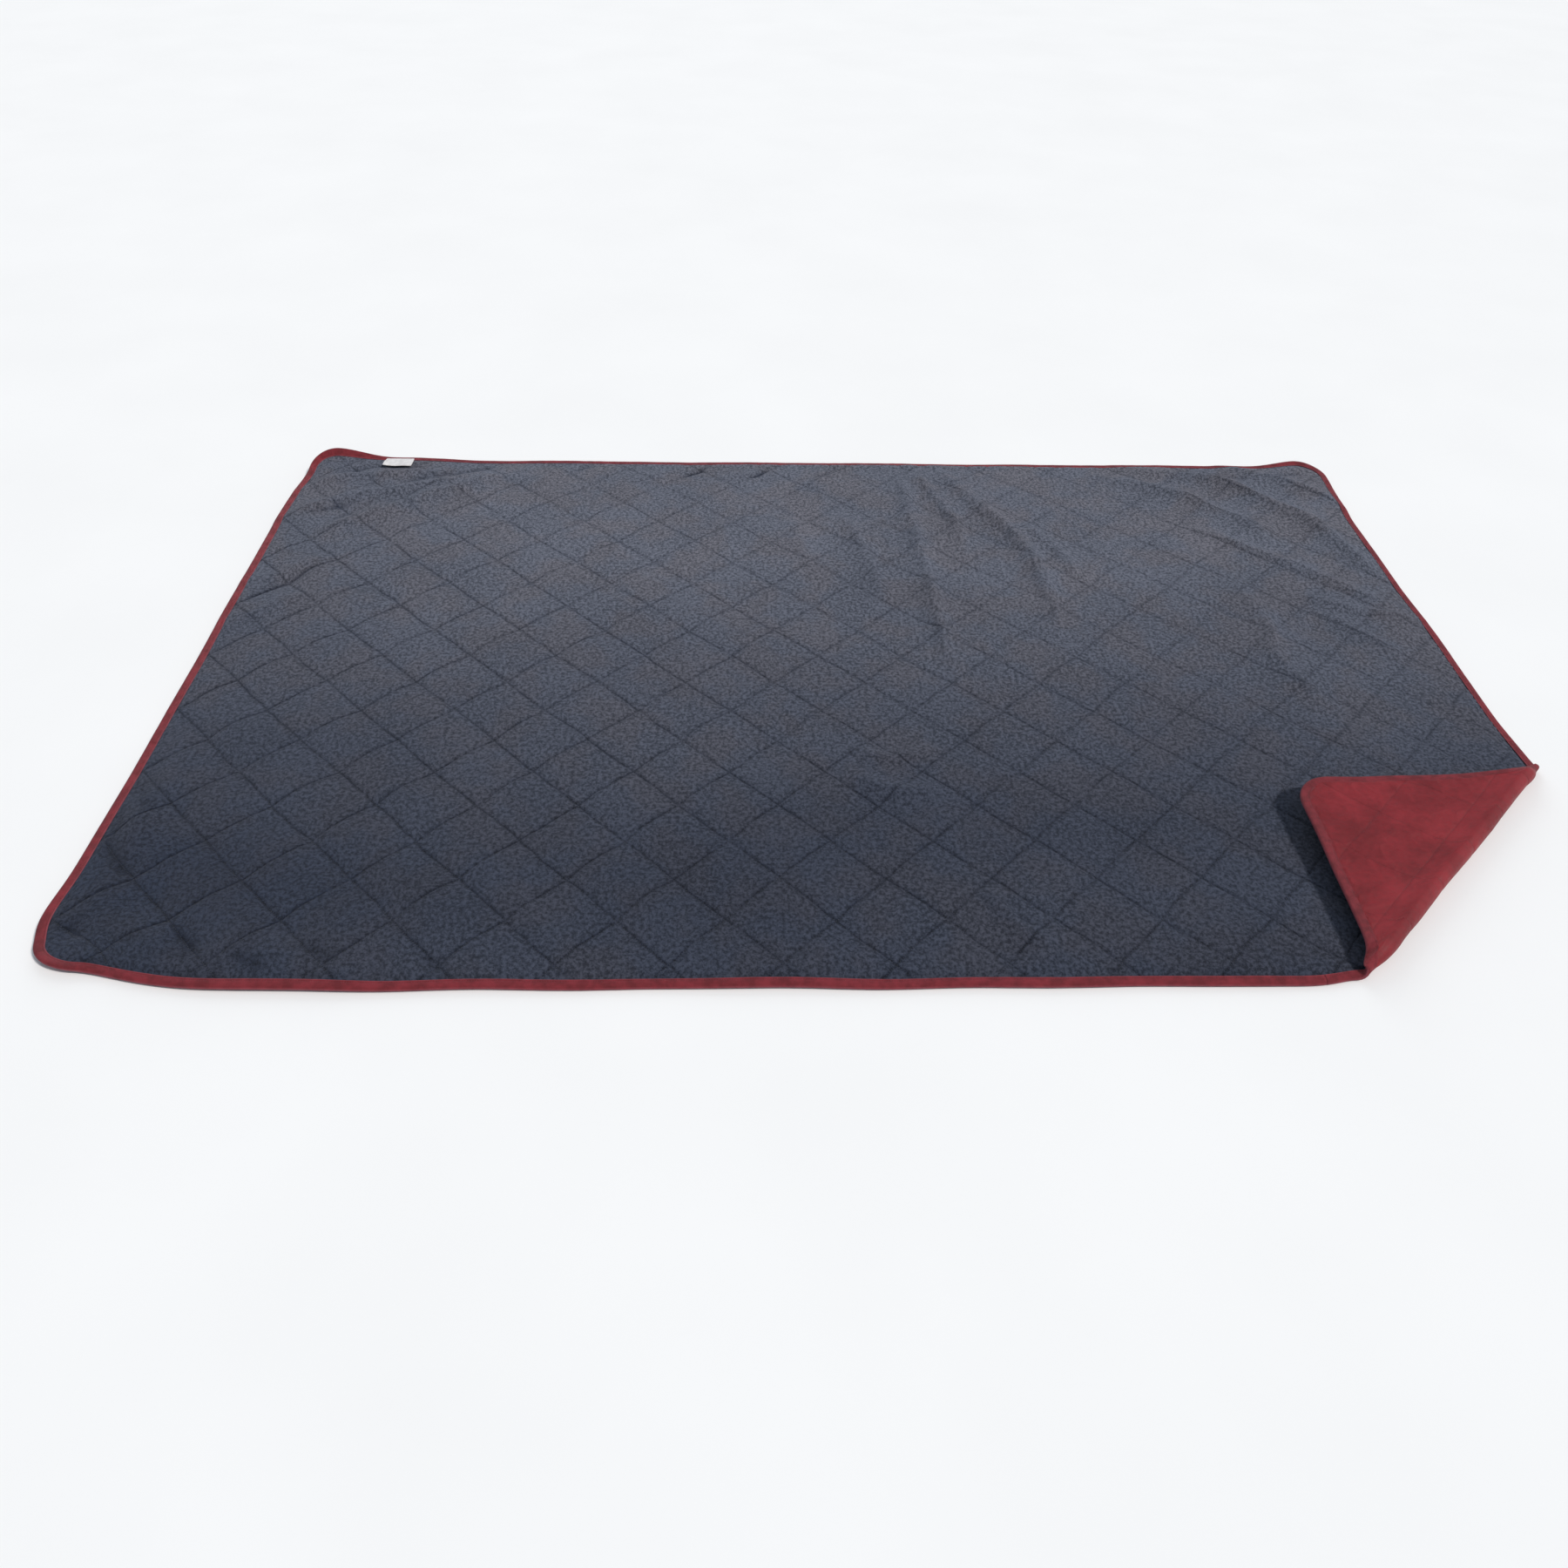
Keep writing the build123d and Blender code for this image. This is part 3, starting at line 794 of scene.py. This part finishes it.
def edge_point(run, depth):
    """Point of the cut, that far round its edge from the foot of the right side and that deep
    inside it: a corner's centre plus what is left of its radius."""
    angle = np.interp(run, EDGE_KNOTS, EDGE_ANGLE)
    arm = CORNER_RADIUS - depth
    x = np.interp(run, EDGE_KNOTS, EDGE_CENTRE_X) + arm * np.cos(angle)
    y = np.interp(run, EDGE_KNOTS, EDGE_CENTRE_Y) + arm * np.sin(angle)
    return x, y


RIGHT_SPLIT = LENGTH / 2 - SPLIT * ROOT_2 + SIDE_RUN / 2
FRONT_SPLIT = EDGE_KNOTS[-2] - (LENGTH / 2 - CORNER_RADIUS) + SPLIT * ROOT_2 - WIDTH / 2
LAP_START = EDGE_KNOTS[4] + SIDE_RUN / 2 - LAP_PLACE
LAP_END = LAP_START + LAP_LENGTH


def swelling(run):
    """How much thicker the tape is, as a share: its slight unevenness, and the lapped end."""
    uneven = 0.05 * wander(run, 0 * run, 0.05, 61) + 0.03 * wander(run, 0 * run, 0.014, 62)
    lap = smooth((run - LAP_START) / 0.0015) * (1 - smooth((run - LAP_END) / 0.0015))
    return 1 + uneven + 0.16 * lap


def tape_face(run, profile):
    """A face of the tape carried round the edge: its profile swells about its middle height."""
    swell = swelling(run)[:, None]
    depth = TAPE_WIDTH - (TAPE_WIDTH - profile[:, 0]) * (0.94 + 0.06 * swell)
    height = np.maximum(TAPE_MIDDLE + (profile[:, 1] - TAPE_MIDDLE) * swell, 0.0001)
    x, y = edge_point(run[:, None], depth)
    return lay(x, y, np.broadcast_to(height, x.shape))


def binding_material():
    """Ribbed tape: ribs square to its length, paler edges that are partly wear and partly a
    painted highlight, and dye that varies along it.
    """
    settings = {
        "Roughness": 0.62,
        "Specular IOR Level": 0.25,
        "Sheen Weight": 0.04,
        "Sheen Roughness": 0.4,
        "Sheen Tint": (1.0, 0.8, 0.9, 1),
    }
    material, tree, shader = new_material("binding_weave", settings)
    place = node(tree, "UVMap", uv_map="cut").outputs["UV"]
    ribs = node(tree, "TexWave", {"Vector": place, "Scale": 300.0, "Distortion": 0.6})
    ribs = ribs.outputs[1]
    long = node(tree, "TexWave", {"Vector": place, "Scale": 420.0}, bands_direction="Y").outputs[1]
    dye = noise(tree, place, 60, 4, 0.6)
    tone = ramp(tree, dye, 0.35, 0.65)
    colour = blend_colours(tree, tone, (0.135, 0.012, 0.017, 1), (0.215, 0.021, 0.030, 1))
    # Paler along the tape's upper edge and outer fold: partly wear, partly a painted highlight
    # where the rounded edges catch the light.
    wear_and_highlight = node(tree, "Attribute", attribute_name="wear_and_highlight").outputs["Fac"]
    patchy = ramp(tree, noise(tree, place, 45, 4, 0.6), 0.3, 0.7, 0.5, 1)
    wear_and_highlight = maths(tree, "MULTIPLY", wear_and_highlight, patchy)
    colour = blend_colours(tree, wear_and_highlight, colour, (0.38, 0.11, 0.14, 1))
    tree.links.new(colour, shader.inputs["Base Color"])
    relief(tree, shader, weighted(tree, (ribs, 0.35), (long, 0.15), (dye, 0.4)), 0.0006)
    return material


binding_weave = binding_material()


def binding(name, first, last, node_name):
    """Tape between two places round the edge: the outer and inner faces as one closed ring
    carried along, with the two ends closed by strips between the faces."""
    run = np.linspace(first, last, int((last - first) / RING_STEP))
    turns = np.mod(run, EDGE_KNOTS[-1])
    outer, inner = tape_face(turns, TAPE_OUTER), tape_face(turns, TAPE_INNER)
    rings = np.concatenate([outer, inner[:, ::-1]], 1)
    count, size = rings.shape[:2]
    index = np.arange(count * size).reshape(count, size)
    ahead = np.roll(index, -1, 1)
    walls = np.stack([index[:-1], ahead[:-1], ahead[1:], index[1:]], -1).reshape(-1, 4)
    half = np.arange(size // 2 - 1)
    strip = np.stack([half, half + 1, size - 2 - half, size - 1 - half], -1)
    faces = np.concatenate([walls[:, ::-1], index[0][strip], index[-1][strip][:, ::-1]])
    outer_path = np.cumsum(np.hypot(*np.diff(TAPE_OUTER, axis=0, prepend=TAPE_OUTER[:1]).T))
    across = np.concatenate([outer_path, outer_path[::-1]])
    cut = np.stack(np.broadcast_arrays(run[:, None], across), -1).reshape(-1, 2)
    piece = make(name, rings.reshape(-1, 3), faces, cut, binding_weave, [node_name])
    edge = np.zeros(size)  # paler along its upper long edge and its outer fold: partly wear, partly a painted highlight
    edge[[0, 1, 2, 10, 11, 12, 20]] = [0.25, 0.6, 0.3, 0.35, 0.6, 0.35, 0.1]
    mark(piece, "wear_and_highlight", np.broadcast_to(edge, (count, size)).ravel())
    return piece


binding_lying = binding("binding_tape_lying", RIGHT_SPLIT, FRONT_SPLIT, "binding_tape")
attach(binding_lying, "blanket")
binding_turned = binding(
    "binding_tape_turned", FRONT_SPLIT, EDGE_KNOTS[-1] + RIGHT_SPLIT, "binding_tape_corner"
)
turn_with_corner(binding_turned, *TAPE_TURN)


# ---- Quilting threads ----------------------------------------------------------------------
# Lockstitch through all the layers along every seam: a slate needle thread on the fleece, sunk
# into the pile, and a burgundy bobbin thread on the backing. One stitch is 3.5 mm long.

STITCH_PITCH = 0.0035
STITCH_SHARE = 0.76  # of the pitch that shows on top
QUILTING_THREAD = 0.00055
PROUD = 0.0002  # of the cloth


def stitches(start, end, up, thread):
    """Stitches from their two ends: each a spindle of four sides that is one thread thick in
    the middle and dips into the cloth at both ends."""
    run = end - start
    run /= np.linalg.norm(run, axis=1, keepdims=True)
    side = np.cross(run, up) * thread / 2
    middle = (start + end) / 2
    dip = up * thread * 0.7
    half = up * thread / 2
    ring = [middle + half, middle + side, middle - half, middle - side]
    points = np.stack([start - dip, end - dip, *ring], 1)
    one = np.array([(2, 3, 1), (3, 4, 1), (4, 5, 1), (5, 2, 1),
                    (3, 2, 0), (4, 3, 0), (5, 4, 0), (2, 5, 0)])
    faces = one + 6 * np.arange(len(start))[:, None, None]
    return points.reshape(-1, 3), faces.reshape(-1, 3)


def thread_material(name, dark, pale):
    """Twisted filament thread: narrow slanting bands of light and dark."""
    material, tree, shader = new_material(name, {"Roughness": 0.5, "Sheen Weight": 0.2})
    place = node(tree, "TexCoord").outputs["Object"]
    inputs = {"Vector": place, "Scale": 260.0, "Distortion": 1.0}
    twist = node(tree, "TexWave", inputs, bands_direction="DIAGONAL").outputs[1]
    tree.links.new(blend_colours(tree, twist, dark, pale), shader.inputs["Base Color"])
    relief(tree, shader, twist, 0.0001)
    return material


slate_thread = thread_material(
    "slate_thread", (0.012, 0.015, 0.024, 1), (0.030, 0.036, 0.050, 1)
)
burgundy_thread = thread_material(
    "burgundy_thread", (0.110, 0.014, 0.018, 1), (0.240, 0.040, 0.048, 1)
)


def sewn(name, x, y, height, outer, thread, material, node_name):
    """Stitches between pairs of flat places, x and y each of two columns, on the cloth's outer
    face, where outer is 1 on the fleece and -1 on the backing."""
    ends = lay(x, y, height)
    above = lay(x, y, height + outer * 0.0005)
    up = (above - ends).mean(1)
    up /= np.linalg.norm(up, axis=1, keepdims=True)
    points, faces = stitches(ends[:, 0], ends[:, 1], up, thread)
    flat = np.stack([x.mean(1), y.mean(1)], -1).repeat(6, 0)
    return make(name, points, faces, flat, material, [node_name])


def seam_stitches(rising):
    """Both ends of every stitch of the rising or the falling seams, as x and y."""
    seam = RISING_SEAM if rising else FALLING_SEAM
    places = seam + PITCH * np.arange(-14, 15)
    start = np.arange(-HALF_DIAGONAL, HALF_DIAGONAL, STITCH_PITCH)
    where, start = [part.ravel() for part in np.meshgrid(places, start, indexing="ij")]
    run = start[:, None] + np.array([0, STITCH_SHARE * STITCH_PITCH])
    where = where[:, None] + np.zeros(2)
    across, along = (where, run) if rising else (run, where)
    x, y = (across + along) / ROOT_2, (along - across) / ROOT_2
    inside = inset(x, y).min(1) > TAPE_WIDTH + 0.001
    return x[inside], y[inside]


for direction in ("rising", "falling"):
    x, y = seam_stitches(direction == "rising")
    turned = across_along(x, y)[0].mean(1) > SPLIT + 0.001
    for corner in (False, True):
        part_x, part_y = (x[turned], y[turned]) if corner else (x[~turned], y[~turned])
        ending, place = ("_corner", "turned") if corner else ("", "lying")
        top = sewn(
            f"quilting_thread_top_{direction}_{place}", part_x, part_y,
            fleece_height(part_x, part_y) + PROUD, 1, QUILTING_THREAD, slate_thread,
            f"quilting_thread_top_{direction}{ending}",
        )
        under = sewn(
            f"quilting_thread_under_{direction}_{place}", part_x, part_y,
            backing_height(part_x, part_y) - PROUD, -1, QUILTING_THREAD, burgundy_thread,
            f"quilting_thread_under_{direction}{ending}",
        )
        if corner:
            turn_with_corner(top, *FLEECE_TURN)
            turn_with_corner(under, *BACKING_TURN)
        else:
            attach(top, "blanket")
            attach(under, "blanket")


# ---- Binding threads -----------------------------------------------------------------------
# One row of burgundy lockstitch through the tape and everything in it, a centimetre in from
# the edge. One stitch is 3 mm long, and each lies in the small groove that it pulls.

BINDING_STITCH = 0.0030
BINDING_THREAD = 0.0006
STITCH_INSET = 0.0100

for first, last, corner in (
    (RIGHT_SPLIT, FRONT_SPLIT, False),
    (FRONT_SPLIT, EDGE_KNOTS[-1] + RIGHT_SPLIT, True),
):
    run = np.arange(first + 0.001, last - BINDING_STITCH, BINDING_STITCH)[:, None]
    run = np.mod(run + np.array([0, 0.8 * BINDING_STITCH]), EDGE_KNOTS[-1])
    x, y = edge_point(run, STITCH_INSET)
    ending, place = ("_corner", "turned") if corner else ("", "lying")
    for face, height, outer in (("top", 0.0062, 1), ("under", 0.0004, -1)):
        row = sewn(
            f"binding_stitch_{face}_{place}", x, y, np.full(x.shape, height), outer,
            BINDING_THREAD, burgundy_thread, f"binding_stitch_{face}{ending}",
        )
        if corner:
            turn_with_corner(row, *TAPE_TURN)
        else:
            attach(row, "blanket")


# ---- Care label ----------------------------------------------------------------------------
# A strip of white satin ribbon, doubled, with its two ends caught under the tape at the
# back-left corner. It is blank here, and curls a little off the fleece.

label_low, label_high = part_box("care_label")
LABEL_WIDTH = label_high.x - label_low.x
LABEL_LENGTH = label_high.y - label_low.y
LABEL_MIDDLE = (label_low.x + label_high.x) / 2
LABEL_FOLD = 0.04  # share of its length that is bent round at the fold


def satin_material():
    """White satin: fine warp threads along the ribbon that catch the light one way."""
    material, tree, shader = new_material("label_satin", {"Sheen Weight": 0.2})
    place = node(tree, "UVMap", uv_map="cut").outputs["UV"]
    warp = noise(tree, place, 900, 3, 0.6, stretch=(1, 0.05, 1))
    slubs = noise(tree, place, 120, 3, 0.6)
    tone = ramp(tree, slubs, 0.3, 0.7)
    colour = blend_colours(tree, tone, (0.50, 0.475, 0.47, 1), (0.62, 0.595, 0.585, 1))
    tree.links.new(colour, shader.inputs["Base Color"])
    tree.links.new(ramp(tree, warp, 0.3, 0.7, 0.32, 0.5), shader.inputs["Roughness"])
    relief(tree, shader, maths(tree, "ADD", warp, slubs), 0.0002)
    return material


def label_points(u, v):
    """Ribbon from its upper end in the seam (v = 0) to its fold (v = 1) and back underneath
    (v = 2). u is from -1 to 1 across it. It bellies out in the middle and its left side lifts."""
    out = 1 - np.abs(1 - v)
    turn = np.sqrt(np.clip(1 - ((1 - v) / LABEL_FOLD) ** 2, 0, 1))
    layer = np.where(v < 1, 1, -1) * np.minimum(np.abs(1 - v) / LABEL_FOLD, 1)
    x = LABEL_MIDDLE + u * LABEL_WIDTH / 2 * (1 + 0.05 * np.sin(math.pi * out))
    y = label_high.y - out * LABEL_LENGTH - 0.0004 * turn
    y = y + 0.002 * out * u
    lift = 0.0050 * (out * np.maximum(-u, 0)) ** 1.5 + 0.0012 * np.sin(math.pi * out)
    lift = lift + 0.0018 * out**2 * (1 + 0.5 * np.sin(2.2 * u + 1))
    z = label_low.z + 0.0008 + lift + 0.0004 * layer
    return np.stack([x, y, z], -1)


u, v = np.meshgrid(np.linspace(-1, 1, 25), np.linspace(0, 2, 49), indexing="ij")
index = np.arange(u.size).reshape(u.shape)
faces = np.stack([index[:-1, :-1], index[:-1, 1:], index[1:, 1:], index[1:, :-1]], -1)
care_label = make(
    "care_label_ribbon", label_points(u, v).reshape(-1, 3), faces.reshape(-1, 4),
    np.stack([u * LABEL_WIDTH / 2, v * LABEL_LENGTH], -1).reshape(-1, 2),
    satin_material(), ["care_label"],
)
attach(care_label, "label")


# ---- Floor, light and camera ---------------------------------------------------------------
# A white studio floor, a soft warm light from the right, a weaker cool one from behind that
# picks out the folds, and a camera above the front edge.

def floor_material():
    """Matt white board with a barely uneven tone."""
    settings = {"Roughness": 0.9, "Specular IOR Level": 0.1}
    material, tree, shader = new_material("studio_floor", settings)
    place = node(tree, "TexCoord").outputs["Object"]
    tone = noise(tree, place, 3, 3, 0.5)
    colour = blend_colours(tree, tone, (0.86, 0.86, 0.86, 1), (0.90, 0.90, 0.90, 1))
    tree.links.new(colour, shader.inputs["Base Color"])
    return material


FLOOR_HALF = 20
FLOOR_HEIGHT = -0.0002
floor_corners = [
    (x * FLOOR_HALF, y * FLOOR_HALF, FLOOR_HEIGHT) for x, y in ((-1, -1), (1, -1), (1, 1), (-1, 1))
]
floor_mesh = bpy.data.meshes.new("floor")
floor_mesh.from_pydata(floor_corners, [], [(0, 1, 2, 3)])
floor_mesh.materials.append(floor_material())
floor = bpy.data.objects.new("floor", floor_mesh)
bpy.context.scene.collection.objects.link(floor)

sun = bpy.data.lights.new("key_light", "SUN")
sun.energy, sun.angle, sun.color = 2.6, math.radians(9), (1.0, 0.965, 0.92)
glow = bpy.data.lights.new("back_light", "SUN")
glow.energy, glow.angle, glow.color = 0.8, math.radians(40), (0.92, 0.96, 1.0)
for lamp, place in ((sun, (0.90, -0.45, 1.20)), (glow, (-0.15, 1.0, 0.45))):
    light = bpy.data.objects.new(lamp.name, lamp)
    light.rotation_euler = (-Vector(place)).to_track_quat("-Z", "Y").to_euler()
    bpy.context.scene.collection.objects.link(light)

bpy.context.scene.view_settings.view_transform = "Standard"
world = bpy.data.worlds.new("studio")
bpy.context.scene.world = world
world.use_nodes = True
background = world.node_tree.nodes["Background"]
background.inputs["Color"].default_value = (0.80, 0.89, 1.0, 1)
background.inputs["Strength"].default_value = 0.40

CAMERA_PLACE = (-0.13916, -1.52074, 1.13073)
CAMERA_RIGHT = Vector((0.99956, -0.02169, 0.02021))
CAMERA_VIEW = Vector((0.02965, 0.73531, -0.67708))
FOCAL_LENGTH, SENSOR_WIDTH = 27.28, 36  # mm
lens = bpy.data.cameras.new("camera")
lens.lens, lens.sensor_width = FOCAL_LENGTH, SENSOR_WIDTH
camera = bpy.data.objects.new("camera", lens)
back = -CAMERA_VIEW.normalized()
over = back.cross(CAMERA_RIGHT).normalized()
turned = Matrix((over.cross(back), over, back)).transposed().to_4x4()
camera.matrix_world = Matrix.Translation(CAMERA_PLACE) @ turned
bpy.context.scene.collection.objects.link(camera)
bpy.context.scene.camera = camera
